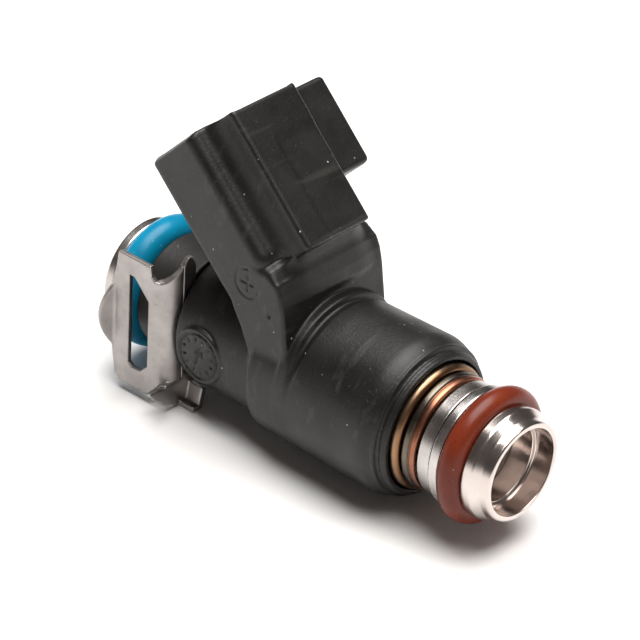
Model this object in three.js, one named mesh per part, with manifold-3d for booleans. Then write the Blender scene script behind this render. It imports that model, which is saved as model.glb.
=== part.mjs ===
// Port fuel injector, in millimetres. +X runs along the injector towards the nozzle and +Z is the
// side that the electrical connector leans out of. The pieces are placed on the injector's own axis
// inside one group, and that group is lifted so that the part stands on z = 0.
import * as THREE from 'three';
import { mergeVertices } from 'three/addons/utils/BufferGeometryUtils.js';
import Module from 'manifold-3d';

const wasm = await Module();
wasm.setup();

// ---------------------------------------------------------------- driving dimensions
const INLET_END = -25.0;          // station of the inlet tube's open end
const TIP_END = 26.5;             // station of the nozzle cup's rim
const AXIS_HEIGHT = 8.9;          // injector axis above the surface the clip rests on
const ROUND = 32;                 // facets around the outer turned pieces
const HIDDEN_ROUND = 20;          // facets around the inner turned pieces
const RUNNING_GAP = 0.1;          // radial clearance between coaxial pieces

const UPPER_RING = { station: -21.83, radius: 5.52, section: 1.77 };
const LOWER_RING = { station: 22.25, radius: 5.98, section: 1.28 };

const BARREL = { rear: -13.35, step: -2.7, lip: 14.56, rearRadius: 7.46, frontRadius: 8.5, lipRadius: 7.47 };
const COLLAR = { start: 1.3, end: 2.6, radius: 8.75 };
const CAVITY = { start: -1.4, radius: 6.9, recessStart: 13.4, recessRadius: 7.05 };

const TUBE = { radius: 3.7, bore: 2.75, flangeRadius: 5.84, flangeEnd: -23.85, end: -7.3 };
const SPACER = { start: -19.95, end: -14.55, radius: 6.2 };
const POLE = { start: -9.5, shoulder: -7.0, end: 4.0, bore: 1.9 };
const ARMATURE = { start: 4.15, seat: 6.3, end: 10.2, radius: 3.65 };
const BALL = { station: 18.9, radius: 1.75 };
const SHELL_BORE = 3.75;          // bore around the armature
const SHELL_RADIUS = 4.4;         // outside of the tube that the coil slides over

// The connector leans back towards the inlet; its mouth's inlet-side edge is at (x, z).
const LEAN = THREE.MathUtils.degToRad(45.5);
const MOUTH = { x: -17.08, z: 18.875, depth: 13.2 };
const SHROUD = { halfWidth: 7.4, back: -0.2, front: 7.3, corner: 0.7 };
const BLOCK = { halfWidth: 4.54, depth: 11.1, length: 15.35, fillet: 2.8 };
const LATCH = { reach: 11.1, start: 1.5, end: 7.8, top: 0.1, bottom: 9.8 };
const DATE_PAD = { station: -9.9, height: -0.45, radius: 3.1, face: -7.55 };
const TERMINAL = { y: 2.1, width: 1.5, thickness: 0.64, tip: 7.45, bend: 16.25, depth: 5.0, root: -1.9 };

const CLIP = { thickness: 0.6, wall: 8.2, ear: 11.1, plate: -13.65, slotHalfWidth: 4.1 };

// ---------------------------------------------------------------- colours and finishes
function finish(color, roughness, metalness) {
  return new THREE.MeshStandardMaterial({ color, roughness, metalness });
}
const blackPlastic = finish(0x1d1c1b, 0.6, 0);
const darkPlastic = finish(0x2c2a28, 0.65, 0);
const bobbinPlastic = finish(0x8a8577, 0.6, 0);
const turnedSteel = finish(0xc9c7c4, 0.25, 1);
const softIron = finish(0x9a9896, 0.4, 1);
const clipSteel = finish(0xb3aeab, 0.38, 1);
const goldTint = finish(0xb08d5e, 0.35, 1);
const copperTint = finish(0xb27a5a, 0.35, 1);
const blueRubber = finish(0x12a3c9, 0.4, 0);
const brownRubber = finish(0x8c2f1c, 0.4, 0);
const copperWire = finish(0xb5651d, 0.4, 1);
const tinPlate = finish(0xd0cfc8, 0.3, 1);
const meshCloth = finish(0xd8d2c0, 0.8, 0);

// ---------------------------------------------------------------- solids
function welded(geometry) {
  const flat = geometry.clone();
  for (const name of Object.keys(flat.attributes)) {
    if (name !== 'position') flat.deleteAttribute(name);
  }
  return mergeVertices(flat, 1e-4);
}

// A closed geometry as a solid, with its faces pointing out and no collapsed triangles.
function solid(geometry) {
  const merged = welded(geometry);
  const vertProperties = new Float32Array(merged.attributes.position.array);
  const corners = [];
  const index = merged.index.array;
  const point = (i) => new THREE.Vector3().fromArray(vertProperties, 3 * i);
  let volume = 0;
  for (let i = 0; i < index.length; i += 3) {
    const [a, b, c] = [index[i], index[i + 1], index[i + 2]];
    if (a === b || b === c || a === c) continue;
    corners.push([a, b, c]);
    volume += point(a).dot(point(b).cross(point(c)));
  }
  const facing = volume < 0 ? corners.map(([a, b, c]) => [a, c, b]) : corners;
  const triVerts = new Uint32Array(facing.flat());
  return new wasm.Manifold(new wasm.Mesh({ numProp: 3, vertProperties, triVerts }));
}

function geometryOf(body) {
  const mesh = body.getMesh();
  const geometry = new THREE.BufferGeometry();
  geometry.setAttribute('position', new THREE.BufferAttribute(new Float32Array(mesh.vertProperties), 3));
  geometry.setIndex(new THREE.BufferAttribute(new Uint32Array(mesh.triVerts), 1));
  return geometry;
}

const injector = new THREE.Group();

function addPiece(name, body, material) {
  const mesh = new THREE.Mesh(geometryOf(body), material);
  mesh.name = name;
  injector.add(mesh);
}

// A turned solid about the X axis, from [station, radius] corners of its closed half section.
function turned(corners, segments = ROUND) {
  const profile = corners.map(([station, radius]) => new THREE.Vector2(radius, station));
  profile.push(profile[0].clone());
  const geometry = new THREE.LatheGeometry(profile, segments);
  geometry.rotateZ(-Math.PI / 2);
  return solid(geometry);
}

function ring(start, end, inner, outer, segments = ROUND) {
  return turned([[start, inner], [end, inner], [end, outer], [start, outer]], segments);
}

// A ring of round section, with its centre circle at a station on the X axis.
function roundRing({ station, radius, section }) {
  const geometry = new THREE.TorusGeometry(radius, section, 12, ROUND);
  geometry.rotateY(Math.PI / 2);
  geometry.translate(station, 0, 0);
  return solid(geometry);
}

function box(low, high) {
  const size = high.map((value, i) => value - low[i]);
  const geometry = new THREE.BoxGeometry(...size);
  geometry.translate(...low.map((value, i) => value + size[i] / 2));
  return solid(geometry);
}

const shapeOf = (points) => new THREE.Shape(points.map(([x, y]) => new THREE.Vector2(x, y)));

// A sheet or slab whose outline lies in the XZ plane, from y = low to y = high.
function slabXZ(points, low, high) {
  const geometry = new THREE.ExtrudeGeometry(shapeOf(points), { depth: high - low, bevelEnabled: false });
  geometry.rotateX(Math.PI / 2);
  geometry.translate(0, high, 0);
  return solid(geometry);
}

// A sheet or slab whose outline lies in the YZ plane, from x = low to x = high.
function slabYZ(points, low, high) {
  const geometry = new THREE.ExtrudeGeometry(shapeOf(points), { depth: high - low, bevelEnabled: false });
  geometry.rotateX(Math.PI / 2);
  geometry.rotateZ(Math.PI / 2);
  geometry.translate(low, 0, 0);
  return solid(geometry);
}

// A closed skin over outlines of equal length, each in the XZ plane at its own y.
function loft(sections) {
  const count = sections[0].points.length;
  const positions = sections.flatMap(({ y, points }) => points.flatMap(([x, z]) => [x, y, z]));
  const index = [];
  for (let row = 0; row + 1 < sections.length; row += 1) {
    for (let i = 0; i < count; i += 1) {
      const next = (i + 1) % count;
      const [a, b] = [row * count + i, row * count + next];
      index.push(a, b, a + count, b, b + count, a + count);
    }
  }
  const outline = sections.map(({ points }) => points.map(([x, z]) => new THREE.Vector2(x, z)));
  const last = (sections.length - 1) * count;
  for (const [a, b, c] of THREE.ShapeUtils.triangulateShape(outline[0], [])) index.push(a, b, c);
  for (const [a, b, c] of THREE.ShapeUtils.triangulateShape(outline.at(-1), [])) {
    index.push(last + a, last + c, last + b);
  }
  const geometry = new THREE.BufferGeometry();
  geometry.setAttribute('position', new THREE.Float32BufferAttribute(positions, 3));
  geometry.setIndex(index);
  return solid(geometry);
}

// ---------------------------------------------------------------- connector frame
// depth runs from the connector's inlet-side face to its nozzle-side face, drop runs down from the mouth
const depthAxis = [Math.cos(LEAN), Math.sin(LEAN)];
const dropAxis = [Math.sin(LEAN), -Math.cos(LEAN)];
const inShroud = (depth, drop) => [
  MOUTH.x + depth * depthAxis[0] + drop * dropAxis[0],
  MOUTH.z + depth * depthAxis[1] + drop * dropAxis[1],
];

// A block squared to the connector, between two depths, two drops and two y values.
function shroudBlock(depths, drops, ys) {
  const corners = [
    inShroud(depths[0], drops[0]),
    inShroud(depths[1], drops[0]),
    inShroud(depths[1], drops[1]),
    inShroud(depths[0], drops[1]),
  ];
  return slabXZ(corners, ys[0], ys[1]);
}

// A prism squared to the connector, from its (depth, y) outline, between two drops.
function shroudPrism(outline, top, bottom) {
  const geometry = new THREE.ExtrudeGeometry(shapeOf(outline), { depth: bottom - top, bevelEnabled: false });
  const basis = new THREE.Matrix4().makeBasis(
    new THREE.Vector3(depthAxis[0], 0, depthAxis[1]),
    new THREE.Vector3(0, 1, 0),
    new THREE.Vector3(dropAxis[0], 0, dropAxis[1]),
  );
  geometry.applyMatrix4(basis);
  const [x, z] = inShroud(0, top);
  geometry.translate(x, 0, z);
  return solid(geometry);
}

// ---------------------------------------------------------------- black overmoulding
function barrel() {
  return turned([
    [BARREL.rear, 3.0],
    [BARREL.rear, BARREL.rearRadius - 0.4],
    [BARREL.rear + 0.4, BARREL.rearRadius],
    [BARREL.step, BARREL.rearRadius],
    [BARREL.step + 0.5, 8.35],
    [COLLAR.start, 8.4],
    [COLLAR.start + 0.3, COLLAR.radius],
    [COLLAR.end - 0.2, COLLAR.radius],
    [COLLAR.end + 0.2, BARREL.frontRadius],
    [11.6, BARREL.frontRadius + 0.1],
    [12.9, 8.62],
    [13.6, 8.3],
    [14.2, 7.9],
    [BARREL.lip, BARREL.lipRadius],
    [BARREL.lip, 3.0],
  ], 48);
}

function barrelCavity() {
  const boreRadius = TUBE.radius + RUNNING_GAP;
  return turned([
    [BARREL.rear - 1, 0],
    [BARREL.rear - 1, boreRadius],
    [CAVITY.start, boreRadius],
    [CAVITY.start, CAVITY.radius],
    [CAVITY.recessStart, CAVITY.radius],
    [CAVITY.recessStart, CAVITY.recessRadius],
    [BARREL.lip + 1, CAVITY.recessRadius],
    [BARREL.lip + 1, 0],
  ]);
}

// The outline of the neck and shroud seen from the side, with its edges drawn in by an inset.
function neckOutline(inset) {
  const { back, front } = SHROUD;
  return [
    [-3.2, 0.5],
    [-3.5, 3.3],
    [-4.6, 5.7],
    [-6.1, 8.0],
    inShroud(back, 13.6),
    inShroud(back + inset, 12.4),
    inShroud(back + inset, 0),
    inShroud(front - inset, 0),
    inShroud(front - inset, 16.4),
    [0.15, 12.2],
    [0.7, 11.1],
    [1.2, 9.0],
    [1.6, 6.3],
    [1.97, 3.7],
    [2.0, 0.5],
  ];
}

function neck() {
  const { halfWidth, corner } = SHROUD;
  return loft([
    { y: -halfWidth, points: neckOutline(corner) },
    { y: -halfWidth + corner, points: neckOutline(0) },
    { y: halfWidth - corner, points: neckOutline(0) },
    { y: halfWidth, points: neckOutline(corner) },
  ]);
}

// The raised block on the shroud's nozzle side, with a hollow fillet down to the shroud on each flank.
function block() {
  const { halfWidth, depth, length, fillet } = BLOCK;
  const foot = SHROUD.front;
  const flank = [];
  for (let i = 0; i <= 5; i += 1) {
    const angle = (Math.PI / 2) * (i / 5);
    flank.push([foot + fillet * (1 - Math.cos(angle)), halfWidth + fillet * (1 - Math.sin(angle))]);
  }
  const rooted = [[foot - 1, halfWidth + fillet - 0.5]];
  const side = [...rooted, ...flank, [depth, halfWidth]];
  const mirrored = side.map(([d, y]) => [d, -y]).reverse();
  return shroudPrism([...side, ...mirrored], 0, length);
}

function connectorCavity() {
  const wide = shroudBlock([1.4, 5.7], [-1, MOUTH.depth], [-6.0, 6.0]);
  const tall = shroudBlock([5.0, 9.7], [-1, MOUTH.depth], [-3.3, 3.3]);
  return wide.add(tall);
}

function terminalPath(margin) {
  const half = TERMINAL.thickness / 2 + margin;
  const bend = inShroud(TERMINAL.depth, TERMINAL.bend);
  const root = [TERMINAL.root, 4.9 - margin];
  const side = (sign) => [
    inShroud(TERMINAL.depth + sign * half, TERMINAL.tip - margin),
    [bend[0] + sign * half, bend[1] + (sign * half * (1 - depthAxis[0])) / depthAxis[1]],
    [root[0] + sign * half, root[1]],
  ];
  return [...side(-1), ...side(1).reverse()];
}

function terminal(y, margin = 0) {
  const half = TERMINAL.width / 2 + margin;
  return slabXZ(terminalPath(margin), y - half, y + half);
}

function datePad() {
  const { station, height, radius, face } = DATE_PAD;
  const rooted = 3;
  const geometry = new THREE.CylinderGeometry(radius, radius, rooted, 32);
  geometry.translate(station, face + rooted / 2, height);
  return solid(geometry);
}

function overmould() {
  const acrossY = [SHROUD.halfWidth - 1.2, LATCH.reach];
  const latch = shroudBlock([LATCH.start, LATCH.end], [LATCH.top, LATCH.bottom], acrossY);
  let body = barrel().add(neck()).add(block()).add(latch).add(datePad());
  body = body.subtract(barrelCavity()).subtract(connectorCavity());
  for (const y of [-TERMINAL.y, TERMINAL.y]) {
    body = body.subtract(terminal(y, 0.15));
  }
  return body;
}

addPiece('overmould_body', overmould(), blackPlastic);
addPiece('terminal_left', terminal(-TERMINAL.y), tinPlate);
addPiece('terminal_right', terminal(TERMINAL.y), tinPlate);

// ---------------------------------------------------------------- inlet end
addPiece('inlet_tube', turned([
  [INLET_END, 3.2],
  [INLET_END, TUBE.flangeRadius - 0.3],
  [INLET_END + 0.3, TUBE.flangeRadius],
  [TUBE.flangeEnd, TUBE.flangeRadius],
  [TUBE.flangeEnd, TUBE.radius],
  [TUBE.end, TUBE.radius],
  [TUBE.end, TUBE.bore],
  [INLET_END + 0.6, TUBE.bore],
]), turnedSteel);
addPiece('upper_o_ring', roundRing(UPPER_RING), blueRubber);
const spacer = ring(SPACER.start, SPACER.end, TUBE.radius + RUNNING_GAP, SPACER.radius);
addPiece('inlet_spacer', spacer, darkPlastic);

function filterFrame() {
  const [outer, inner] = [2.35, 1.95];
  const basket = turned([
    [-24.3, inner],
    [-24.3, TUBE.bore - RUNNING_GAP],
    [-23.2, TUBE.bore - RUNNING_GAP],
    [-23.2, outer],
    [-14.2, outer],
    [-14.2, 0],
    [-15.0, 0],
    [-15.0, inner],
  ], HIDDEN_ROUND);
  const windowHalf = 1.3;
  const acrossY = box([-22.4, -3, -windowHalf], [-15.6, 3, windowHalf]);
  const acrossZ = box([-22.4, -windowHalf, -3], [-15.6, windowHalf, 3]);
  return basket.subtract(acrossY).subtract(acrossZ);
}
addPiece('inlet_filter_frame', filterFrame(), bobbinPlastic);
addPiece('inlet_filter_mesh', ring(-23.6, -15.2, 1.6, 1.8, HIDDEN_ROUND), meshCloth);

// ---------------------------------------------------------------- magnetic core and spring
addPiece('pole_piece', turned([
  [POLE.start, POLE.bore],
  [POLE.start, TUBE.bore - RUNNING_GAP],
  [POLE.shoulder, TUBE.bore - RUNNING_GAP],
  [POLE.shoulder, TUBE.radius],
  [POLE.end, TUBE.radius],
  [POLE.end, POLE.bore],
], 32), softIron);

const adjustingTube = ring(-8.6, -1.4, 1.0, POLE.bore - RUNNING_GAP, HIDDEN_ROUND);
const slit = box([-9, -0.2, 0], [-1, 0.2, 3]);
addPiece('adjusting_tube', adjustingTube.subtract(slit), turnedSteel);

class SpringCurve extends THREE.Curve {
  constructor(start, end, radius, turns) {
    super();
    Object.assign(this, { start, end, radius, turns });
  }

  getPoint(t, target = new THREE.Vector3()) {
    const angle = 2 * Math.PI * this.turns * t;
    const station = this.start + (this.end - this.start) * t;
    return target.set(station, this.radius * Math.cos(angle), this.radius * Math.sin(angle));
  }
}

function spring() {
  const wire = 0.25;
  const turns = 6;
  const curve = new SpringCurve(-1.0 + wire, ARMATURE.seat - 0.1 - wire, 1.35, turns);
  const sides = 6;
  const section = [];
  for (let i = 0; i < sides; i += 1) {
    const angle = (2 * Math.PI * i) / sides;
    section.push([wire * Math.cos(angle), wire * Math.sin(angle)]);
  }
  const options = { steps: 12 * turns, extrudePath: curve, bevelEnabled: false };
  return solid(new THREE.ExtrudeGeometry(shapeOf(section), options));
}
addPiece('return_spring', spring(), turnedSteel);

// ---------------------------------------------------------------- moving valve: armature, needle, ball
const NEEDLE = { radius: 1.25, bore: 0.6, start: ARMATURE.seat + 0.2, end: 17.05 };
addPiece('armature', turned([
  [ARMATURE.start, POLE.bore],
  [ARMATURE.start, ARMATURE.radius],
  [ARMATURE.end, ARMATURE.radius],
  [ARMATURE.end, NEEDLE.radius + RUNNING_GAP],
  [ARMATURE.seat, NEEDLE.radius + RUNNING_GAP],
  [ARMATURE.seat, POLE.bore],
], 32), softIron);

const shaft = ring(NEEDLE.start, NEEDLE.end, NEEDLE.bore, NEEDLE.radius, HIDDEN_ROUND);
const crossHole = box([13.0, -2, -0.35], [14.5, 2, 0.35]);
addPiece('needle_shaft', shaft.subtract(crossHole), turnedSteel);

const ball = new THREE.SphereGeometry(BALL.radius, 24, 14);
ball.rotateZ(Math.PI / 2);
ball.translate(BALL.station, 0, 0);
addPiece('valve_ball', solid(ball), turnedSteel);

// ---------------------------------------------------------------- coil and its iron
addPiece('flux_washer', (() => {
  const washer = ring(-1.1, -0.45, TUBE.radius + RUNNING_GAP, CAVITY.radius - RUNNING_GAP, 32);
  const terminalSlot = box([-2, -3.2, 3.9], [0, 3.2, 8]);
  return washer.subtract(terminalSlot);
})(), softIron);
addPiece('coil_bobbin', turned([
  [-0.2, SHELL_RADIUS + RUNNING_GAP],
  [-0.2, 6.1],
  [0.4, 6.1],
  [0.4, 4.95],
  [10.2, 4.95],
  [10.2, 6.1],
  [10.8, 6.1],
  [10.8, SHELL_RADIUS + RUNNING_GAP],
], 32), bobbinPlastic);
addPiece('coil_winding', ring(0.6, 10.0, 5.05, 6.0, 32), copperWire);
addPiece('coil_housing', turned([
  [-0.2, 6.3],
  [-0.2, CAVITY.radius - RUNNING_GAP],
  [12.1, CAVITY.radius - RUNNING_GAP],
  [12.1, SHELL_RADIUS + RUNNING_GAP],
  [11.0, SHELL_RADIUS + RUNNING_GAP],
  [11.0, 6.3],
], 32), softIron);
addPiece('nonmagnetic_shell', ring(1.0, 4.7, TUBE.radius + RUNNING_GAP, SHELL_RADIUS, 32), turnedSteel);

// ---------------------------------------------------------------- nozzle end
const SLEEVE_OUTSIDE = 4.6;
const SLEEVE_BORE = 4.15;
addPiece('valve_body', turned([
  [5.0, SHELL_BORE],
  [5.0, SHELL_RADIUS],
  [17.95, SHELL_RADIUS],
  [17.95, 5.65],
  [18.15, 5.65],
  [18.15, 6.1],
  [19.6, 6.1],
  [19.6, SLEEVE_OUTSIDE + RUNNING_GAP],
  [18.1, SLEEVE_OUTSIDE + RUNNING_GAP],
  [18.1, 3.0],
  [10.6, 3.0],
  [10.6, SHELL_BORE],
]), turnedSteel);
addPiece('weld_ring', turned([
  [12.4, SHELL_RADIUS + RUNNING_GAP],
  [12.4, 6.7],
  [15.7, 6.7],
  [16.0, 6.4],
  [16.0, SHELL_RADIUS + RUNNING_GAP],
]), goldTint);
addPiece('copper_ring', ring(16.3, 17.85, SHELL_RADIUS + RUNNING_GAP, 6.25), copperTint);
addPiece('o_ring_collar', ring(19.8, 20.9, SLEEVE_OUTSIDE + RUNNING_GAP, 6.41), turnedSteel);
addPiece('lower_o_ring', roundRing(LOWER_RING), brownRubber);
addPiece('tip_sleeve', turned([
  [18.35, SLEEVE_BORE],
  [18.35, SLEEVE_OUTSIDE],
  [23.6, SLEEVE_OUTSIDE],
  [23.6, 5.99],
  [24.7, 5.99],
  [25.6, 5.4],
  [26.3, 5.3],
  [TIP_END, 5.16],
  [TIP_END, 4.66],
  [24.2, 4.66],
  [24.2, SLEEVE_BORE],
]), turnedSteel);

const insideSleeve = SLEEVE_BORE - RUNNING_GAP;
const guide = ring(18.4, 18.8, BALL.radius + 0.1, insideSleeve, 32);
addPiece('guide_disc', guide, turnedSteel);
addPiece('valve_seat', turned([
  [19.0, 2.55],
  [19.0, insideSleeve],
  [21.2, insideSleeve],
  [21.2, 0.45],
  [21.05, 0.45],
], 32), turnedSteel);

function directorPlate() {
  let plate = turned([[21.45, 0], [21.45, insideSleeve], [21.75, insideSleeve], [21.75, 0]], 32);
  const holes = 4;
  for (let i = 0; i < holes; i += 1) {
    const hole = new THREE.CylinderGeometry(0.22, 0.22, 2, 10);
    hole.rotateZ(Math.PI / 2);
    const angle = (2 * Math.PI * (i + 0.5)) / holes;
    hole.translate(21.6, 1.0 * Math.cos(angle), 1.0 * Math.sin(angle));
    plate = plate.subtract(solid(hole));
  }
  return plate;
}
addPiece('director_plate', directorPlate(), turnedSteel);

// ---------------------------------------------------------------- retaining clip
function clipWall(sign) {
  const outline = [
    [-20.7, 7.55],
    [-16.2, 7.55],
    [-16.0, 6.2],
    [-15.0, 5.95],
    [CLIP.plate, 5.95],
    [CLIP.plate, -5.7],
    [-14.6, -6.2],
    [-16.2, -7.7],
    [-20.4, -7.7],
    [-21.2, -6.9],
    [-21.45, -4.3],
    [-21.45, 3.6],
  ];
  const opening = [
    [-19.1, 5.3],
    [-18.4, 5.3],
    [-16.4, 3.2],
    [-16.4, -4.6],
    [-17.3, -5.4],
    [-18.6, -5.5],
    [-19.1, -5.1],
  ];
  const middle = sign * (CLIP.wall - CLIP.thickness / 2);
  const sheet = slabXZ(outline, middle - CLIP.thickness / 2, middle + CLIP.thickness / 2);
  return sheet.subtract(slabXZ(opening, middle - 1, middle + 1));
}

// The lead-in lip on the wall's inlet edge, bent outward by 60 degrees.
function clipLip(sign) {
  const half = 3.9;
  const reach = 1.8;
  const arc = [];
  for (let i = 0; i <= 6; i += 1) {
    const across = -half + (2 * half * i) / 6;
    arc.push([-reach * (1 - (across / half) ** 2) - 0.01, across]);
  }
  arc.push([0.3, half], [0.3, -half]);
  const shape = shapeOf(arc);
  const geometry = new THREE.ExtrudeGeometry(shape, { depth: CLIP.thickness, bevelEnabled: false });
  geometry.rotateX(Math.PI / 2);
  geometry.translate(0, CLIP.thickness, 0);
  geometry.rotateZ(-THREE.MathUtils.degToRad(60));
  geometry.translate(-21.3, CLIP.wall - CLIP.thickness, -0.35);
  if (sign < 0) geometry.scale(1, -1, 1);
  return solid(geometry);
}

function clipPlate() {
  const w = CLIP.wall;
  const s = CLIP.slotHalfWidth;
  const half = [
    [4.4, -6.6],
    [4.9, -8.7],
    [6.2, -8.75],
    [7.7, -8.1],
    [8.5, -7.6],
    [9.5, -6.8],
    [10.3, -6.0],
    [CLIP.ear, -4.7],
    [w + 0.3, -5.75],
    [w, -5.6],
    [w, 5.95],
    [7.6, 6.7],
    [6.8, 6.9],
    [6.1, 7.45],
    [5.5, 8.1],
    [5.0, 8.5],
    [4.5, 8.3],
    [s, 7.2],
    [s, 0],
  ];
  const slotFloor = [];
  for (let i = 1; i <= 7; i += 1) {
    const angle = (Math.PI * i) / 8;
    slotFloor.push([s * Math.cos(angle), -s * Math.sin(angle)]);
  }
  const mirrored = half.map(([y, z]) => [-y, z]).reverse();
  return slabYZ([...half, ...slotFloor, ...mirrored], CLIP.plate - CLIP.thickness, CLIP.plate);
}

// A tongue turned from the plate's lower edge towards the nozzle, with its foot turned outward.
function clipTongue(sign) {
  const reach = 1.9;
  const outline = [
    [4.75, -6.35],
    [5.2, -8.3],
    [6.0, -8.3],
    [6.0, -AXIS_HEIGHT],
    [4.65, -AXIS_HEIGHT],
    [4.15, -6.75],
  ];
  const points = outline.map(([y, z]) => [sign * y, z]);
  return slabYZ(points, CLIP.plate - CLIP.thickness, CLIP.plate + reach);
}

function retainingClip() {
  let clip = clipPlate();
  for (const sign of [-1, 1]) {
    clip = clip.add(clipWall(sign)).add(clipLip(sign)).add(clipTongue(sign));
  }
  return clip;
}
addPiece('retaining_clip', retainingClip(), clipSteel);

// ---------------------------------------------------------------- whole part
injector.position.set(-(INLET_END + TIP_END) / 2, 0, AXIS_HEIGHT);
const part = new THREE.Group();
part.name = 'fuel_injector';
part.add(injector);
part.updateMatrixWorld(true);

export default part;
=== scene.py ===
import math

import bmesh
import bpy
import numpy as np
import openvdb
from mathutils import Matrix, Vector


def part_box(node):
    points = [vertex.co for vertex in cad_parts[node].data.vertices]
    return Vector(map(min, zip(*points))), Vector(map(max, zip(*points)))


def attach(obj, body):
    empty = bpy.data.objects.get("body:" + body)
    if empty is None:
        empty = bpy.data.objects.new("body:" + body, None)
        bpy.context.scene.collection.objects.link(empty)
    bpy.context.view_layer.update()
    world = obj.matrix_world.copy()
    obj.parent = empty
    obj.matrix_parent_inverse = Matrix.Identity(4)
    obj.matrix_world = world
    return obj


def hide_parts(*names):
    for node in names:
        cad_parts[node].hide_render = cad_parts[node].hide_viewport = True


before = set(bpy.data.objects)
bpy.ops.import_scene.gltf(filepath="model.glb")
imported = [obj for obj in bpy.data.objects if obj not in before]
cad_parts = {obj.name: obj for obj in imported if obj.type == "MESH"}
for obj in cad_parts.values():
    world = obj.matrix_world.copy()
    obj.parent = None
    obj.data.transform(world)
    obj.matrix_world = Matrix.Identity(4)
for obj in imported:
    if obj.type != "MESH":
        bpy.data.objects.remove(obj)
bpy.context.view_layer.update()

# ------------------------------------------------------------------ shared sizes
# The shapes below are worked out in millimetres on the injector's own axis: x is the station along
# it, towards the nozzle, and z is up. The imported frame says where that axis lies.
MM = 0.001
INLET_END = -25.0
TIP_END = 26.5
_tube_low, _tube_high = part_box("inlet_tube")
AXIS = np.array([
    _tube_low.x / MM - INLET_END,
    (_tube_low.y + _tube_high.y) / 2 / MM,
    (_tube_low.z + _tube_high.z) / 2 / MM,
])
ROUND = 192                      # steps around a turned piece

LEAN = math.radians(45.5)        # connector's lean from vertical
MOUTH_X, MOUTH_Z = -17.08, 18.875         # the connector mouth's inlet-side edge
HALF_WIDTH = 7.4                 # connector and neck, across y
LATCH_REACH = 11.1               # far face of the latch tab, across y


# ------------------------------------------------------------------ distance shapes
def smooth_max(a, b, k):
    h = np.clip(k - np.abs(a - b), 0, None) / k
    return np.maximum(a, b) + h * h * k / 4


def smooth_min(a, b, k):
    return -smooth_max(-a, -b, k)


def rounded(k, *sides):
    """The space inside every side, with its edges rounded by about k."""
    result = sides[0]
    for side in sides[1:]:
        result = smooth_max(result, side, k)
    return result


def polygon(a, b, corners):
    """Signed distance to a closed outline in the (a, b) plane, negative inside."""
    best = np.full(a.shape, np.inf)
    inside = np.zeros(a.shape, bool)
    for (a0, b0), (a1, b1) in zip(corners, corners[1:] + corners[:1]):
        ea, eb = a1 - a0, b1 - b0
        wa, wb = a - a0, b - b0
        t = np.clip((wa * ea + wb * eb) / (ea * ea + eb * eb), 0, 1)
        best = np.minimum(best, (wa - ea * t) ** 2 + (wb - eb * t) ** 2)
        crosses = (b0 > b) != (b1 > b)
        if eb != 0:
            inside ^= crosses & (wa < ea * wb / eb)
    return np.where(inside, -1.0, 1.0) * np.sqrt(best)


def smooth_step(value, low, high):
    t = np.clip((value - low) / (high - low), 0, 1)
    return t * t * (3 - 2 * t)


def to_row(points):
    """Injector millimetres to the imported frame's metres."""
    return (np.asarray(points, float) + AXIS) * MM


def mesh_object(name, points, faces, smooth=True):
    data = bpy.data.meshes.new(name)
    data.from_pydata([tuple(p) for p in points], [], [tuple(f) for f in faces])
    data.validate()
    if smooth:
        data.shade_smooth()
    piece = bpy.data.objects.new(name, data)
    bpy.context.scene.collection.objects.link(piece)
    return piece


BLOCK = 8
BLOCK_MARGIN = 1.6               # allows for distances that grow faster than the real ones


def sample(distance, low, shape, cell):
    """The distance on a grid, worked out in full only in the blocks that the surface can cross."""
    blocks = shape // BLOCK
    index = np.stack(np.meshgrid(*[np.arange(n) for n in blocks], indexing="ij"), -1).reshape(-1, 3)
    centres = low + (index * BLOCK + (BLOCK - 1) / 2) * cell
    middle = distance(*centres.T)
    reach = BLOCK_MARGIN * (BLOCK + 1) * cell * math.sqrt(3) / 2
    values = np.repeat(np.repeat(np.repeat(middle.reshape(blocks), BLOCK, 0), BLOCK, 1), BLOCK, 2)
    step = np.arange(BLOCK)
    offsets = np.stack(np.meshgrid(step, step, step, indexing="ij"), -1).reshape(-1, 3)
    near = index[np.abs(middle) < reach]
    batch = 400
    for start in range(0, len(near), batch):
        cells = (near[start:start + batch, None] * BLOCK + offsets).reshape(-1, 3)
        values[tuple(cells.T)] = distance(*(low + cells * cell).T)
    return values


def carve(name, distance, low, high, cell):
    """A closed mesh of the surface where distance(x, y, z) is zero, in injector millimetres."""
    low = np.array(low, float) - 2 * cell
    shape = (np.ceil((np.array(high) + 2 * cell - low) / cell / BLOCK).astype(int) + 1) * BLOCK
    values = sample(distance, low, shape, cell).astype(np.float32)
    grid = openvdb.FloatGrid(float(values.max()))
    grid.copyFromArray(values)
    points, faces = grid.convertToQuads(0.0)
    points = low + points.astype(float) * cell
    reach = 0.25 * cell
    for _ in range(3):
        value = distance(*points.T)
        slope = np.stack([
            distance(*(points + reach * axis).T) - distance(*(points - reach * axis).T)
            for axis in np.eye(3)
        ], 1) / (2 * reach)
        size = np.maximum((slope * slope).sum(1), 0.25)
        move = -(value / size)[:, None] * slope
        points += np.clip(move, -0.5 * cell, 0.5 * cell)
    piece = mesh_object(name, to_row(points), faces[:, ::-1])
    return facing_out(piece)


def facing_out(piece):
    work = bmesh.new()
    work.from_mesh(piece.data)
    if work.calc_volume(signed=True) < 0:
        bmesh.ops.reverse_faces(work, faces=work.faces)
    work.to_mesh(piece.data)
    work.free()
    return piece


def arc(centre, radius, start, end, steps):
    """Points of a round stretch of a turned outline, angles in degrees from +x towards +r."""
    angles = np.radians(np.linspace(start, end, steps + 1))
    return [(centre[0] + radius * math.cos(a), centre[1] + radius * math.sin(a)) for a in angles]


STRAIGHT_STEP = 0.3              # point spacing along the straights of a turned outline
STRAIGHT_INSET = 0.03            # how close to a curve's end the first of them lies


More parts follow.
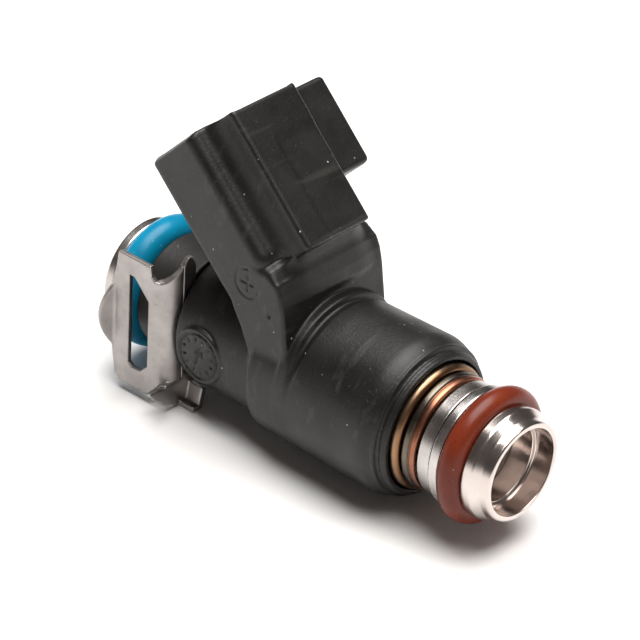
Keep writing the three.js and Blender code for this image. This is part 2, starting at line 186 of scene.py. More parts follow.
def eased(corners, ease, steps=4):
    """A closed outline with each corner rounded by a short curve, and points along the straights."""
    count = len(corners)
    result = []
    for i, corner in enumerate(corners):
        before, here, after = (np.array(corners[j % count], float) for j in (i - 1, i, i + 1))
        back, ahead = before - here, after - here
        reach = min(ease, 0.45 * np.linalg.norm(back), 0.45 * np.linalg.norm(ahead))
        a = here + back / np.linalg.norm(back) * reach
        b = here + ahead / np.linalg.norm(ahead) * reach
        for t in np.linspace(0, 1, steps + 1):
            result.append(tuple((1 - t) ** 2 * a + 2 * t * (1 - t) * here + t * t * b))
    dense = []
    for start, end in zip(result, result[1:] + result[:1]):
        start, end = np.array(start), np.array(end)
        length = np.linalg.norm(end - start)
        parts = max(1, min(12, round(length / STRAIGHT_STEP)))
        inset = min(STRAIGHT_INSET / length, 0.1)
        dense.append(tuple(start))
        if parts > 1:
            dense += [tuple(start + (end - start) * t) for t in np.linspace(inset, 1 - inset, parts)]
    return dense


def turned(name, outline, steps=ROUND):
    """A closed turned piece from the (station, radius) points of its closed half section."""
    angles = np.linspace(0, 2 * math.pi, steps, endpoint=False)
    count = len(outline)
    points = [
        (x, r * math.cos(a), r * math.sin(a))
        for a in angles
        for x, r in outline
    ]
    faces = []
    for i in range(steps):
        for j in range(count):
            a, b = i * count + j, i * count + (j + 1) % count
            c, d = (i + 1) % steps * count + (j + 1) % count, (i + 1) % steps * count + j
            faces.append((a, b, c, d))
    return facing_out(mesh_object(name, to_row(points), faces))


# ------------------------------------------------------------------ black overmoulding
def connector_axes(x, z):
    """Depth across the connector, from its inlet-side face, and drop down from its mouth."""
    dx, dz = x - MOUTH_X, z - MOUTH_Z
    return dx * math.cos(LEAN) + dz * math.sin(LEAN), dx * math.sin(LEAN) - dz * math.cos(LEAN)


def in_shroud(depth, drop):
    """The (x, z) of a place in the connector."""
    return (
        MOUTH_X + depth * math.cos(LEAN) + drop * math.sin(LEAN),
        MOUTH_Z + depth * math.sin(LEAN) - drop * math.cos(LEAN),
    )


SHROUD_BACK, SHROUD_FRONT = -0.2, 7.3
SHROUD_INSET = 0.6               # the slab keeps this far inside the connector's section
BLOCK_HALF, BLOCK_DEPTH, BLOCK_LENGTH = 4.54, 11.1, 15.35
SHOULDER, HOLLOW, CREST = 1.2, 2.5, 0.5   # section radii: cheek corner, hollow flank, block edge
NECK_SIDE = [
    (-2.6, -3.0), (-3.5, 3.3), (-4.6, 5.7), (-6.1, 8.0), in_shroud(SHROUD_BACK, 13.6),
    in_shroud(SHROUD_BACK, -3), in_shroud(SHROUD_FRONT - SHROUD_INSET, -3),
    in_shroud(SHROUD_FRONT - SHROUD_INSET, 14.4), in_shroud(SHROUD_FRONT, 15.3),
    in_shroud(SHROUD_FRONT, 16.6), (0.15, 12.25), (0.7, 11.1), (1.0, 10.0), (1.2, 9.0), (1.4, 7.6),
    (1.6, 6.3), (1.97, 3.7), (2.1, -3.0),
]
BROW_SIDE = [                    # fills the corner under the block's end
    (-2.0, 10.0), in_shroud(6.5, 14.0), in_shroud(9.4, 14.8), (0.3, 13.4), (0.6, 12.2), (0.85, 11.1),
    (1.0, 10.0),
]


SECTION_ROOT, SECTION_BACK = 3.0, 2.0     # how far the half outline reaches past the middle and back


def connector_section():
    """Half outline of the connector across its length: cheek, hollow flank and raised block."""
    inner = HALF_WIDTH - SHOULDER
    hollow = [
        (inner - (inner - BLOCK_HALF) * math.sin(t), SHROUD_FRONT + HOLLOW * (1 - math.cos(t)))
        for t in np.linspace(0, math.pi / 2, 11)[1:]
    ]
    return [
        (-SECTION_ROOT, SECTION_BACK), (HALF_WIDTH, SECTION_BACK),
        *arc((inner, SHROUD_FRONT - SHOULDER), SHOULDER, 0, 90, 8),
        *hollow,
        *arc((BLOCK_HALF - CREST, BLOCK_DEPTH - CREST), CREST, 0, 90, 5),
        (-SECTION_ROOT, BLOCK_DEPTH),
    ]


CONNECTOR_SECTION = connector_section()

REAR_X, REAR_R = -13.35, 7.46    # rear end and radius of the rear barrel
REAR_ROOT = -1.0                 # where the rear barrel ends inside the front one
STEP_X = -2.75                   # where the barrel steps up to its front part
FRONT_R, FRONT_TAPER, TAPER_START = 8.36, 0.018, -2.7
SHOULDER_X, SHOULDER_R = 13.24, 8.66      # a point on the slanted nozzle-end shoulder
SHOULDER_RUN, SHOULDER_RISE, SHOULDER_LENGTH = 1.18, 1.32, 1.77
FACE_X = 14.56                   # nozzle-end face
COLLAR_X, COLLAR_HALF, COLLAR_LIFT = 1.75, 0.72, 0.42
GROOVE_X, GROOVE_R, GROOVE_SIZE = 2.85, 8.75, 0.45
LIP_X, LIP_R, LIP_ROOT = 15.25, 7.45, 12.0
LIP_BEADS = [(14.05, 7.93), (14.75, 7.45)]   # thin moulded ridges around the nozzle-end lip
BEAD_SIZE = 0.21


def barrel_shape(x, y, z):
    r = np.sqrt(y * y + z * z)
    height = z / np.maximum(r, 0.1)
    rear = rounded(0.5, r - REAR_R, REAR_X - x, x - REAR_ROOT)
    slant = (x - SHOULDER_X) * SHOULDER_RUN + (r - SHOULDER_R) * SHOULDER_RISE
    front = rounded(0.9, r - FRONT_R - FRONT_TAPER * (x - TAPER_START), slant / SHOULDER_LENGTH)
    front = rounded(0.45, front, STEP_X - x)
    front = rounded(0.3, front, x - FACE_X)
    lift = COLLAR_LIFT * smooth_step(height, 0.1, 0.75)
    collar = rounded(0.3, r - FRONT_R - lift, np.abs(x - COLLAR_X) - COLLAR_HALF)
    groove = np.hypot(x - GROOVE_X, (r - GROOVE_R) * 0.8) - GROOVE_SIZE
    groove = smooth_max(groove, 0.25 - height, 0.5)
    front = smooth_max(front, -groove, 0.25)
    lip = rounded(0.2, r - LIP_R, x - LIP_X, LIP_ROOT - x)
    front = smooth_min(front, lip, 0.25)
    for station, radius in LIP_BEADS:
        front = smooth_min(front, np.hypot(x - station, r - radius) - BEAD_SIZE, 0.1)
    return smooth_min(smooth_min(rear, front, 0.15), collar, 0.2)


EDGE_LOW = 0.45                  # rounding of the neck's edges low down
EDGE_BACK, EDGE_FRONT = 0.35, 0.65        # what is added to it higher up, and at the front
EDGE_DROP, EDGE_SPAN = 17.5, 3.5
BROW_HALF = 5.6
TOP_STEP = 0.1                   # the block's far side lies this much lower
TOP_STEP_Y = (-1.35, -1.05)
TOP_STEP_DROP = (3.5, 5.0)
LATCH_ROOT = 5.5
LATCH_DEPTH = (1.5, 7.8)
LATCH_DROP = (0.15, 10.1)
CROWN = 0.3                      # rise of the mouth beside the block


def neck_shape(x, y, z):
    depth, drop = connector_axes(x, z)
    across = np.abs(y)
    upper = smooth_step(EDGE_DROP - drop, 0.0, EDGE_SPAN)
    edge = EDGE_LOW + upper * (EDGE_BACK + EDGE_FRONT * smooth_step(depth, 2.0, 5.0))
    slab = smooth_max(polygon(x, z, NECK_SIDE), across - HALF_WIDTH, edge)
    brow = rounded(2.5, polygon(x, z, BROW_SIDE), across - BROW_HALF)
    slab = smooth_min(slab, brow, 1.2)
    sunk = TOP_STEP * smooth_step(y, *TOP_STEP_Y) * smooth_step(drop, *TOP_STEP_DROP)
    section = polygon(across, depth + sunk, CONNECTOR_SECTION)
    fade = 0.3 + 1.7 * smooth_step(across, BLOCK_HALF - 0.1, BLOCK_HALF + 0.6)
    raised = smooth_max(section, drop - BLOCK_LENGTH, fade)
    latch = rounded(
        0.6, y - LATCH_REACH, LATCH_ROOT - y, LATCH_DEPTH[0] - depth, depth - LATCH_DEPTH[1],
        drop - LATCH_DROP[1], LATCH_DROP[0] - drop,
    )
    body = smooth_min(np.minimum(slab, raised), latch, 0.25)
    crown = CROWN * smooth_step(across, 3.6, 5.4) * smooth_step(HALF_WIDTH - across, 0.0, 1.2)
    return smooth_max(body, -drop - crown, 0.35)


CAVITY_WIDE = (6.0, 1.4, 5.7)    # half width, and the depths it runs from and to
CAVITY_TALL = (3.3, 3.0, 9.7)
CAVITY_END = 13.2
LEAD_IN, LEAD_SLOPE = 0.3, 0.6


def connector_cavity(x, y, z):
    depth, drop = connector_axes(x, z)
    wide, tall = (
        rounded(0.6, np.abs(y) - half, start - depth, depth - end)
        for half, start, end in (CAVITY_WIDE, CAVITY_TALL)
    )
    hole = smooth_min(wide, tall, 0.4)
    lead_in = hole - LEAD_IN + np.clip(drop, 0, None) * LEAD_SLOPE
    return smooth_max(smooth_min(hole, lead_in, 0.2), drop - CAVITY_END, 0.3)


BORE_R, BORE_END = 3.8, -1.0     # bore for the inlet tube
COIL_R, COIL_START = 6.9, -1.4   # space for the coil and its can
RECESS_R, RECESS_START = 6.95, 13.4


def barrel_hollow(x, y, z):
    r = np.sqrt(y * y + z * z)
    bore = np.maximum(r - BORE_R, x - BORE_END)
    coil_space = np.maximum(r - COIL_R, COIL_START - x)
    recess = rounded(0.3, r - RECESS_R, RECESS_START - x)
    return np.minimum(np.minimum(bore, coil_space), recess)


PAD_X, PAD_Z, PAD_FACE, PAD_RADIUS, PAD_ROOT = -9.9, -0.45, -7.5, 3.05, -5.0
PAD_CUT = 0.14                   # depth of the dial's marks
DIAL_R = 2.5
TICKS, TICK_START = 12, 12       # number of ticks, and the first one's angle in degrees
TICK_IN, TICK_OUT = 1.75, 2.1
ARROW_TAIL, ARROW_TIP = (-0.35, -1.0), (0.3, 0.95)
ARROW_BARBS = [(-0.35, 0.4), (0.6, 0.2)]
PLUS_X, PLUS_Z, PLUS_ARM, PLUS_RING = -3.7, 11.0, 0.85, 1.6
DOT_X, DOT_Z, DOT_R = -0.66, 8.5, 0.24
CUT = 0.16                       # depth of the marks on the cheek


def stroke(a, b, start, end, half):
    """Distance to a straight mark with round ends, in the (a, b) plane."""
    ea, eb = end[0] - start[0], end[1] - start[1]
    t = np.clip(((a - start[0]) * ea + (b - start[1]) * eb) / (ea * ea + eb * eb), 0, 1)
    return np.hypot(a - start[0] - ea * t, b - start[1] - eb * t) - half


def cheek_marks(x, y, z):
    """A plus inside a part ring, and a dot, sunk into the connector's side."""
    a, b = x - PLUS_X, z - PLUS_Z
    ring = smooth_max(np.abs(np.hypot(a, b) - PLUS_RING) - 0.1, a * 0.35 - 0.45 + b * 0.25, 0.1)
    flat_arm = stroke(a, b, (-PLUS_ARM, 0), (PLUS_ARM, 0), 0.1)
    upright_arm = stroke(a, b, (0, -PLUS_ARM), (0, PLUS_ARM), 0.1)
    dot = np.hypot(x - DOT_X, z - DOT_Z) - DOT_R
    marks = np.minimum(np.minimum(ring, np.minimum(flat_arm, upright_arm)), dot)
    return smooth_max(marks, y + HALF_WIDTH - CUT, 0.05)


def pad_marks(x, y, z):
    """A mould date dial: an outer ring, tick marks and an arrow, sunk into the pad."""
    a, b = x - PAD_X, z - PAD_Z
    mark = np.abs(np.hypot(a, b) - DIAL_R) - 0.1
    for step in range(TICKS):
        angle = math.radians(360 / TICKS * step + TICK_START)
        ca, sa = math.cos(angle), math.sin(angle)
        tick = stroke(a, b, (TICK_IN * ca, TICK_IN * sa), (TICK_OUT * ca, TICK_OUT * sa), 0.08)
        mark = np.minimum(mark, tick)
    mark = np.minimum(mark, stroke(a, b, ARROW_TAIL, ARROW_TIP, 0.11))
    for barb in ARROW_BARBS:
        mark = np.minimum(mark, stroke(a, b, ARROW_TIP, barb, 0.09))
    return smooth_max(mark, y - PAD_FACE - PAD_CUT, 0.05)


def overmould_shape(x, y, z):
    body = smooth_min(barrel_shape(x, y, z), neck_shape(x, y, z), 0.25)
    pad = rounded(0.2, np.hypot(x - PAD_X, z - PAD_Z) - PAD_RADIUS, PAD_FACE - y, y - PAD_ROOT)
    body = smooth_min(body, pad, 0.25)
    body = smooth_max(body, -cheek_marks(x, y, z), 0.08)
    body = smooth_max(body, -pad_marks(x, y, z), 0.08)
    body = smooth_max(body, -barrel_hollow(x, y, z), 0.15)
    return smooth_max(body, -connector_cavity(x, y, z), 0.3)


# ------------------------------------------------------------------ retaining clip
SHEET = 0.6                      # thickness of the clip's sheet
SHEET_EDGE = 0.14                # rounding of its cut edges
WALL_Y = 8.2 - SHEET / 2
PLATE_X = -13.65 - SHEET / 2
BEND = 2.0                       # middle radius of the bend between wall and plate
WALL_SIDE = [
    (-20.7, 7.55), (-16.2, 7.55), (-16.0, 6.4), (-15.5, 6.0), (-15.3, 9.5), (-12.0, 9.5), (-12.0, -5.7),
    (-14.6, -5.9), (-16.2, -7.7), (-20.3, -7.8), (-21.0, -7.2), (-21.45, -4.3), (-21.45, 3.6),
    (-20.9, 6.0),
]
WINDOW_SIDE = [
    (-19.1, 5.35), (-18.4, 5.35), (-16.4, 3.3), (-16.4, -4.5), (-17.3, -5.4), (-18.6, -5.5), (-19.1, -5.1),
]
PLATE_FRONT = [
    (4.4, -6.6), (4.9, -8.6), (6.2, -8.7), (7.7, -8.15), (8.5, -7.65), (9.5, -6.85), (10.3, -5.95),
    (11.0, -4.8), (8.7, -5.75), (8.2, -5.8), (8.2, 5.95), (7.7, 6.65), (6.9, 6.85), (6.1, 7.5),
    (5.6, 8.1), (5.1, 8.5), (4.5, 8.3), (4.1, 7.2), (4.1, 0.0), (0.0, 0.0), (0.0, -6.6),
]
TONGUE_FRONT = [
    (4.75, -6.35), (5.2, -8.3), (6.0, -8.3), (6.0, -8.9), (4.65, -8.9), (4.15, -6.75),
]
TONGUE_REACH = 1.9
EAR_TOP = -5.6
SLOT_HALF = 4.1
BRIM_X = -15.5
BRIM_ACROSS = [5.1, 5.6, 6.1, 6.9, 7.6, 7.9]   # the scooped top edge around the bend
BRIM_TOP = [8.5, 8.1, 7.5, 6.85, 6.2, 6.0]
FLARE_X, FLARE_Z = -21.3, -0.35  # where the wall flares out to guide the rail cup
FLARE_LEAN = math.radians(60)
FLARE_HALF, FLARE_REACH = 3.9, 1.75


def clip_shape(x, y, z):
    across = np.abs(y)
    half = SHEET / 2
    wall_end, plate_end = PLATE_X - BEND, WALL_Y - BEND
    bend = np.hypot(np.maximum(x - wall_end, 0), np.maximum(across - plate_end, 0)) - BEND
    wall = np.where(x < wall_end, np.abs(across - WALL_Y), np.abs(bend)) - half
    brim = z - np.interp(across, BRIM_ACROSS, BRIM_TOP)
    side = smooth_max(polygon(x, z, WALL_SIDE), np.where(x > BRIM_X, brim, -1.0), 0.1)
    window = polygon(x, z, WINDOW_SIDE)
    wall = rounded(SHEET_EDGE, wall, side, -window, plate_end - across)
    slot = np.where(z > 0, across - SLOT_HALF, np.hypot(across, z) - SLOT_HALF)
    plate_outline = smooth_max(polygon(across, z, PLATE_FRONT), -slot, 0.1)
    flat = np.abs(x - PLATE_X) - half
    inner_plate = rounded(SHEET_EDGE, flat, plate_outline, across - plate_end)
    ear = rounded(SHEET_EDGE, flat, plate_outline, z - EAR_TOP, plate_end - across)
    tongue_outline = polygon(across, z, TONGUE_FRONT)
    tongue = rounded(SHEET_EDGE, tongue_outline, PLATE_X - half - x, x - (PLATE_X + half + TONGUE_REACH))
    out, aside = x - FLARE_X, across - WALL_Y
    along = -out * math.cos(FLARE_LEAN) + aside * math.sin(FLARE_LEAN)
    above = out * math.sin(FLARE_LEAN) + aside * math.cos(FLARE_LEAN)
    up = z - FLARE_Z
    reach = FLARE_REACH * (1 - (np.clip(up, -FLARE_HALF, FLARE_HALF) / FLARE_HALF) ** 2)
    flare = rounded(
        SHEET_EDGE, np.abs(above) - half, along - reach, -0.35 - along, np.abs(up) - FLARE_HALF,
    )
    sheet = np.minimum(wall, inner_plate)
    sheet = smooth_min(sheet, ear, 0.15)
    sheet = smooth_min(sheet, tongue, 0.2)
    return smooth_min(sheet, flare, 0.2)


# ------------------------------------------------------------------ materials
DUST = (0.5, 0.48, 0.45)
FINE_DUST = (0.42, 0.40, 0.38)
SCRATCH = (0.3, 0.29, 0.27)
LINT = (0.7, 0.68, 0.65)
PLASTIC_IOR, RUBBER_IOR = 1.43, 1.33


class Nodes:
    """Short ways to add shader nodes to one material."""

    def __init__(self, name):
        self.material = bpy.data.materials.new(name)
        self.material.use_nodes = True
        self.tree = self.material.node_tree
        self.shader = self.tree.nodes["Principled BSDF"]
        self.place = self.add("ShaderNodeTexCoord").outputs["Object"]

    def add(self, kind, **settings):
        node = self.tree.nodes.new(kind)
        for key, value in settings.items():
            setattr(node, key, value)
        return node

    def link(self, source, target):
        self.tree.links.new(source, target)

    def stretched(self, scale):
        mapping = self.add("ShaderNodeMapping")
        mapping.inputs["Scale"].default_value = scale
        self.link(self.place, mapping.inputs["Vector"])
        return mapping.outputs["Vector"]

    def noise(self, scale, detail=3.0, roughness=0.5, stretch=None):
        node = self.add("ShaderNodeTexNoise")
        node.inputs["Scale"].default_value = scale
        node.inputs["Detail"].default_value = detail
        node.inputs["Roughness"].default_value = roughness
        self.link(self.place if stretch is None else self.stretched(stretch), node.inputs["Vector"])
        return node.outputs["Fac"]

    def spots(self, scale, size):
        """One inside round specks, scattered at random, and zero between them."""
        node = self.add("ShaderNodeTexVoronoi")
        node.inputs["Scale"].default_value = scale
        node.inputs["Randomness"].default_value = 1.0
        self.link(self.place, node.inputs["Vector"])
        return self.ramp(node.outputs["Distance"], [(size * 0.6, 1.0), (size, 0.0)])

    def station(self, start, end):
        """Zero to one between two stations along the injector."""
        split = self.add("ShaderNodeSeparateXYZ")
        self.link(self.place, split.inputs["Vector"])
        node = self.add("ShaderNodeMapRange")
        node.inputs["From Min"].default_value = (start + float(AXIS[0])) * MM
        node.inputs["From Max"].default_value = (end + float(AXIS[0])) * MM
        self.link(split.outputs["X"], node.inputs["Value"])
        return node.outputs["Result"]

    def ramp(self, source, stops):
        node = self.add("ShaderNodeValToRGB")
        elements = node.color_ramp.elements
        while len(elements) < len(stops):
            elements.new(0.5)
        for element, (position, value) in zip(elements, stops):
            element.position = position
            colour = value if isinstance(value, tuple) else (value, value, value)
            element.color = (*colour, 1.0)
        self.link(source, node.inputs["Fac"])
        return node.outputs["Color"]

    def math(self, operation, a, b):
        node = self.add("ShaderNodeMath", operation=operation)
        for socket, value in zip(node.inputs, (a, b)):
            if isinstance(value, (int, float)):
                socket.default_value = value
            else:
                self.link(value, socket)
        return node.outputs["Value"]

    def mix(self, factor, a, b):
        node = self.add("ShaderNodeMix", data_type="RGBA")
        for name, value in (("Factor", factor), ("A", a), ("B", b)):
            socket = node.inputs[name]
            if isinstance(value, (int, float)):
                socket.default_value = value
            elif isinstance(value, tuple):
                socket.default_value = (*value, 1.0)
            else:
                self.link(value, socket)
        return node.outputs["Result"]

    def bump(self, height, distance, strength=1.0, after=None):
        node = self.add("ShaderNodeBump")
        node.inputs["Distance"].default_value = distance
        node.inputs["Strength"].default_value = strength
        self.link(height, node.inputs["Height"])
        if after is not None:
            self.link(after, node.inputs["Normal"])
        return node.outputs["Normal"]

    def finish(self, **sockets):
        for name, value in sockets.items():
            socket = self.shader.inputs[name.replace("_", " ")]
            if isinstance(value, (int, float)):
                socket.default_value = value
            elif isinstance(value, tuple):
                socket.default_value = (*value, 1.0)
            else:
                self.link(value, socket)
        return self.material


def moulded_plastic(name, colour, lighter, rough=(0.36, 0.52), specks=0.8):
    n = Nodes(name)
    cloud = n.ramp(n.noise(160, 4), [(0.35, colour), (0.7, lighter)])
    dust = n.math("MULTIPLY", n.spots(560, 0.06), n.ramp(n.noise(900, 2), [(0.42, 0.0), (0.6, specks)]))
    dusty = n.mix(dust, cloud, DUST)
    fine_dust = n.math("MULTIPLY", n.ramp(n.noise(2600, 2, 0.7), [(0.66, 0.0), (0.8, 1.0)]), 0.10)
    dusty = n.mix(fine_dust, dusty, FINE_DUST)
    scratch = n.ramp(n.noise(700, 2, 0.6, (1.0, 0.12, 0.5)), [(0.60, 0.0), (0.72, 1.0)])
    dusty = n.mix(n.math("MULTIPLY", scratch, 0.05), dusty, SCRATCH)
    roughness = n.ramp(n.noise(220, 5, 0.6), [(0.3, rough[0]), (0.75, rough[1])])
    grain = n.bump(n.noise(3200, 3, 0.6), 0.00004, 0.55)
    waves = n.bump(n.noise(260, 2), 0.0001, 0.35, after=grain)
    return n.finish(Base_Color=dusty, Roughness=roughness, Normal=waves, IOR=PLASTIC_IOR)


def seal_rubber(name, colour, darker, rough=(0.24, 0.36)):
    n = Nodes(name)
    cloud = n.ramp(n.noise(240, 4), [(0.3, darker), (0.65, colour)])
    dusty = n.mix(n.math("MULTIPLY", n.spots(900, 0.06), 0.5), cloud, LINT)
    roughness = n.ramp(n.noise(420, 4, 0.6), [(0.3, rough[0]), (0.7, rough[1])])
    grain = n.bump(n.noise(2400, 3, 0.6), 0.00003, 0.35)
    return n.finish(Base_Color=dusty, Roughness=roughness, Normal=grain, IOR=RUBBER_IOR)


def turned_metal(name, colour, darker, rough=(0.16, 0.28), rings=0.2, grit=0.0, tint=None):
    """Steel with fine rings around the injector axis; tint is (start, end, stops) along it."""
    n = Nodes(name)
    streak = n.noise(1000, 3, 0.6, (6.0, 0.05, 0.05))
    stain = n.noise(330, 4, 0.55)
    if tint:
        start, end, stops = tint
        colour = n.ramp(n.math("ADD", n.station(start, end), n.math("MULTIPLY", stain, 0.12)), stops)
        tone = n.mix(n.math("MULTIPLY", n.ramp(stain, [(0.42, 1.0), (0.66, 0.0)]), 0.45), colour, darker)
    else:
        tone = n.ramp(stain, [(0.3, darker), (0.68, colour)])
    tone = n.mix(n.math("MULTIPLY", n.ramp(streak, [(0.4, 0.0), (0.7, 1.0)]), 0.18), tone, darker)
    roughness = n.math("ADD", n.ramp(stain, [(0.3, rough[0]), (0.7, rough[1])]),
                       n.math("MULTIPLY", streak, 0.06))
    normal = n.bump(streak, 0.00001, rings)
    if grit:
        normal = n.bump(n.noise(2600, 4, 0.7), 0.00004, grit, after=normal)
    return n.finish(Base_Color=tone, Metallic=1.0, Roughness=roughness, Normal=normal)


def stamped_steel(name):
    n = Nodes(name)
    cloud = n.ramp(n.noise(300, 5, 0.6), [(0.3, (0.27, 0.25, 0.24)), (0.7, (0.41, 0.385, 0.372))])
    pits = n.ramp(n.noise(1500, 3, 0.7), [(0.62, 0.0), (0.72, 1.0)])
    tone = n.mix(n.math("MULTIPLY", pits, 0.45), cloud, (0.2, 0.18, 0.17))
    roughness = n.ramp(n.noise(520, 4, 0.6), [(0.3, 0.32), (0.7, 0.48)])
    normal = n.bump(pits, 0.00003, -0.35)
    normal = n.bump(n.noise(900, 3, 0.6), 0.00003, 0.4, after=normal)
    return n.finish(Base_Color=tone, Metallic=1.0, Roughness=roughness, Normal=normal)


black_plastic = moulded_plastic("black_plastic", (0.004, 0.0038, 0.0033), (0.009, 0.0084, 0.0075))
dark_plastic = moulded_plastic("dark_plastic", (0.014, 0.013, 0.012), (0.028, 0.026, 0.024), specks=0.4)
bobbin_plastic = moulded_plastic("bobbin_plastic", (0.22, 0.20, 0.16), (0.3, 0.28, 0.22), specks=0.2)
blue_rubber = seal_rubber("blue_rubber", (0.003, 0.25, 0.42), (0.002, 0.18, 0.33))
brown_rubber = seal_rubber("brown_rubber", (0.16, 0.024, 0.009), (0.11, 0.016, 0.007))
turned_steel = turned_metal("turned_steel", (0.60, 0.565, 0.54), (0.38, 0.36, 0.345))
polished_steel = turned_metal(
    "polished_steel", (0.68, 0.61, 0.575), (0.56, 0.50, 0.47), (0.12, 0.2), 0.06,
)
soft_iron = turned_metal("soft_iron", (0.42, 0.41, 0.40), (0.26, 0.25, 0.245), (0.3, 0.45), 0.6, 0.3)
gold_steel = turned_metal(
    "gold_tint_steel", (0.4, 0.28, 0.17), (0.13, 0.085, 0.055), (0.24, 0.36), 0.5, 0.3,
    (14.9, 16.2, [
        (0.2, (0.25, 0.18, 0.12)), (0.5, (0.33, 0.235, 0.155)), (0.75, (0.33, 0.16, 0.075)),
        (0.95, (0.13, 0.06, 0.035)),
    ]),
)
copper_steel = turned_metal(
    "copper_tint_steel", (0.4, 0.16, 0.09), (0.07, 0.05, 0.045), (0.2, 0.32), 0.5, 0.2,
    (16.2, 17.9, [
        (0.1, (0.16, 0.11, 0.07)), (0.3, (0.17, 0.165, 0.125)), (0.5, (0.14, 0.12, 0.10)),
        (0.66, (0.34, 0.11, 0.055)), (0.85, (0.42, 0.17, 0.10)),
    ]),
)
tin_plate = turned_metal("tin_plate", (0.66, 0.65, 0.60), (0.5, 0.49, 0.45), (0.22, 0.34), 0.2, 0.3)
copper_wire = turned_metal("copper_wire", (0.55, 0.2, 0.07), (0.3, 0.09, 0.03), (0.25, 0.4), 0.8)
clip_steel = stamped_steel("clip_steel")


def gauze_material():
    n = Nodes("filter_gauze")
    weave = n.noise(5000, 1, 0.5, (1.0, 1.0, 0.4))
    tone = n.ramp(weave, [(0.4, (0.36, 0.33, 0.26)), (0.6, (0.66, 0.62, 0.52))])
    return n.finish(Base_Color=tone, Roughness=n.ramp(weave, [(0.3, 0.6), (0.7, 0.85)]),
                    Normal=n.bump(weave, 0.00005, 0.8))


filter_gauze = gauze_material()


# ------------------------------------------------------------------ pieces
def dress(piece, material, slot, body, *nodes):
    piece.data.materials.clear()
    piece.data.materials.append(material)
    if nodes:
        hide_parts(*nodes)
    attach(piece, body)
    return piece


BODY_CELL = 0.18                 # grid spacing of the two carved pieces
CLIP_CELL = 0.1

overmould = carve("overmould", overmould_shape, (-21.5, -8.1, -8.8), (15.0, 11.3, 27.0), BODY_CELL)
dress(overmould, black_plastic, "black_plastic", "injector", "overmould_body")

clip = carve("rail_clip", clip_shape, (-22.6, -11.3, -9.0), (-11.4, 11.3, 8.7), CLIP_CELL)
dress(clip, clip_steel, "clip_steel", "clip", "retaining_clip")


def round_ring(name, station, radius, section, material, slot, node):
    section_line = arc((station, radius), section, 0, 360, 48)[:-1]
    return dress(turned(name, section_line, 256), material, slot, "injector", node)


round_ring("blue_seal", -21.83, 5.52, 1.77, blue_rubber, "blue_rubber", "upper_o_ring")
round_ring("brown_seal", 22.25, 5.98, 1.28, brown_rubber, "brown_rubber", "lower_o_ring")


def turned_piece(name, corners, ease, material, slot, node):
    return dress(turned(name, eased(corners, ease)), material, slot, "injector", node)


turned_piece("inlet_pipe", [
    (-25.0, 3.2), (-25.0, 5.84), (-23.85, 5.84), (-23.85, 3.7), (-7.3, 3.7), (-7.3, 2.75), (-24.4, 2.75),
], 0.25, turned_steel, "turned_steel", "inlet_tube")
turned_piece("neck_spacer", [
    (-19.95, 3.8), (-19.95, 6.2), (-14.55, 6.2), (-14.55, 3.8),
], 0.3, dark_plastic, "dark_plastic", "inlet_spacer")
turned_piece("gold_ring", [
    (12.4, 4.5), (12.4, 6.7), (15.6, 6.7), (16.0, 6.35), (16.0, 4.5),
], 0.25, gold_steel, "gold_tint_steel", "weld_ring")
turned_piece("tinted_ring", [
    (16.25, 4.5), (16.25, 6.3), (16.9, 6.25), (17.0, 6.05), (17.12, 6.05), (17.22, 6.2), (17.75, 6.12),
    (17.75, 4.5),
], 0.2, copper_steel, "copper_tint_steel", "copper_ring")
turned_piece("body_band", [
    (5.0, 3.75), (5.0, 4.4), (17.95, 4.4), (17.95, 5.65), (18.15, 5.65), (18.15, 6.1), (19.6, 6.1),
    (19.6, 4.7), (18.1, 4.7), (18.1, 3.0), (10.6, 3.0), (10.6, 3.75),
], 0.12, turned_steel, "turned_steel", "valve_body")
turned_piece("seal_collar", [
    (19.8, 4.7), (19.8, 6.41), (20.9, 6.41), (20.9, 4.7),
], 0.18, turned_steel, "turned_steel", "o_ring_collar")
turned_piece("nozzle_cup", [
    (18.35, 4.15), (18.35, 4.6), (23.6, 4.6), (23.6, 5.99), (24.7, 5.99), (25.6, 5.4), (26.3, 5.3),
    (TIP_END, 5.16), (TIP_END, 4.66), (24.2, 4.66), (24.2, 4.15),
], 0.14, polished_steel, "polished_steel", "tip_sleeve")

CARRIED = {
    "terminal_left": tin_plate,
    "terminal_right": tin_plate,
    "inlet_filter_frame": bobbin_plastic,
    "inlet_filter_mesh": filter_gauze,
    "pole_piece": soft_iron,
    "adjusting_tube": turned_steel,
    "return_spring": turned_steel,
    "armature": soft_iron,
    "needle_shaft": turned_steel,
    "valve_ball": polished_steel,
    "flux_washer": soft_iron,
    "coil_bobbin": bobbin_plastic,
    "coil_winding": copper_wire,
    "coil_housing": soft_iron,
    "nonmagnetic_shell": turned_steel,
    "guide_disc": turned_steel,
    "valve_seat": turned_steel,
    "director_plate": polished_steel,
}
for node, material in CARRIED.items():
    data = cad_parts[node].data
    data.materials.clear()
    data.materials.append(material)


# ------------------------------------------------------------------ floor, light and camera
FLOOR_SIZE = 3.0


def floor_material():
    n = Nodes("floor")
    tone = n.ramp(n.noise(6, 2), [(0.3, (0.84, 0.83, 0.825)), (0.7, (0.86, 0.855, 0.85))])
    return n.finish(Base_Color=tone, Roughness=0.65)


floor = mesh_object("floor", [
    (-FLOOR_SIZE, -FLOOR_SIZE, 0), (FLOOR_SIZE, -FLOOR_SIZE, 0), (FLOOR_SIZE, FLOOR_SIZE, 0),
    (-FLOOR_SIZE, FLOOR_SIZE, 0),
], [(0, 1, 2, 3)], False)
floor.data.materials.append(floor_material())


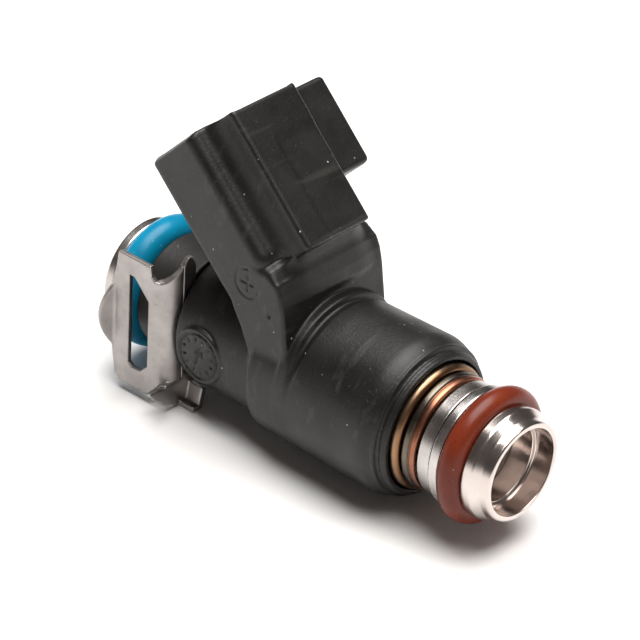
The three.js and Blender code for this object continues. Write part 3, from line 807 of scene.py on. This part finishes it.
def area_light(name, place, target, size, power, colour):
    data = bpy.data.lights.new(name, "AREA")
    data.shape = "RECTANGLE"
    data.size, data.size_y = size
    data.energy = power
    data.color = colour
    light = bpy.data.objects.new(name, data)
    bpy.context.scene.collection.objects.link(light)
    light.location = place
    light.rotation_euler = (Vector(target) - Vector(place)).to_track_quat("-Z", "Y").to_euler()
    return light


SOFTBOX = (0.05, 0.25, 2.5)      # one large overhead softbox
SOFTBOX_SIZE = (2.6, 2.2)
SOFTBOX_POWER = 150.0
SOFTBOX_COLOUR = (1.0, 0.985, 0.965)
area_light("softbox", SOFTBOX, (0, 0, 0.015), SOFTBOX_SIZE, SOFTBOX_POWER, SOFTBOX_COLOUR)

ROOM = (0.085, 0.075, 0.07)      # dim room above the sweep
SWEEP = (0.9, 0.88, 0.86)        # pale sweep along the horizon
SWEEP_TOP, ROOM_START = 0.03, 0.16   # heights, as the upward part of a direction


def studio_world():
    world = bpy.data.worlds.new("studio")
    bpy.context.scene.world = world
    world.use_nodes = True
    tree = world.node_tree
    place = tree.nodes.new("ShaderNodeTexCoord")
    split = tree.nodes.new("ShaderNodeSeparateXYZ")
    ramp = tree.nodes.new("ShaderNodeValToRGB")
    low, high = ramp.color_ramp.elements
    low.position, low.color = SWEEP_TOP, (*SWEEP, 1.0)
    high.position, high.color = ROOM_START, (*ROOM, 1.0)
    tree.links.new(place.outputs["Generated"], split.inputs["Vector"])
    tree.links.new(split.outputs["Z"], ramp.inputs["Fac"])
    tree.links.new(ramp.outputs["Color"], tree.nodes["Background"].inputs["Color"])


studio_world()

AZIMUTH = math.radians(41.084)
ELEVATION = math.radians(32.428)
ROLL = math.radians(2.939)
DISTANCE = 400.396 * MM
LENS_RATIO = 6.2453              # focal length over sensor width
SENSOR = 36.0
AIM = to_row((-1.81, 1.54, 3.69))


def photo_camera():
    data = bpy.data.cameras.new("camera")
    data.sensor_width = SENSOR
    data.lens = LENS_RATIO * data.sensor_width
    data.clip_start = 0.01
    data.clip_end = 20.0
    camera = bpy.data.objects.new("camera", data)
    bpy.context.scene.collection.objects.link(camera)
    back = Vector((
        math.cos(ELEVATION) * math.sin(AZIMUTH),
        -math.cos(ELEVATION) * math.cos(AZIMUTH),
        math.sin(ELEVATION),
    ))
    right = back.cross(Vector((0, 0, 1))).normalized() * -1
    up = back.cross(right)
    roll = Matrix.Rotation(ROLL, 3, back)
    right, up = roll @ right, roll @ up
    turn = Matrix((right, up, back)).transposed().to_4x4()
    camera.matrix_world = Matrix.Translation(Vector(AIM) + back * DISTANCE) @ turn
    bpy.context.scene.camera = camera


photo_camera()
bpy.context.scene.view_settings.view_transform = "Standard"
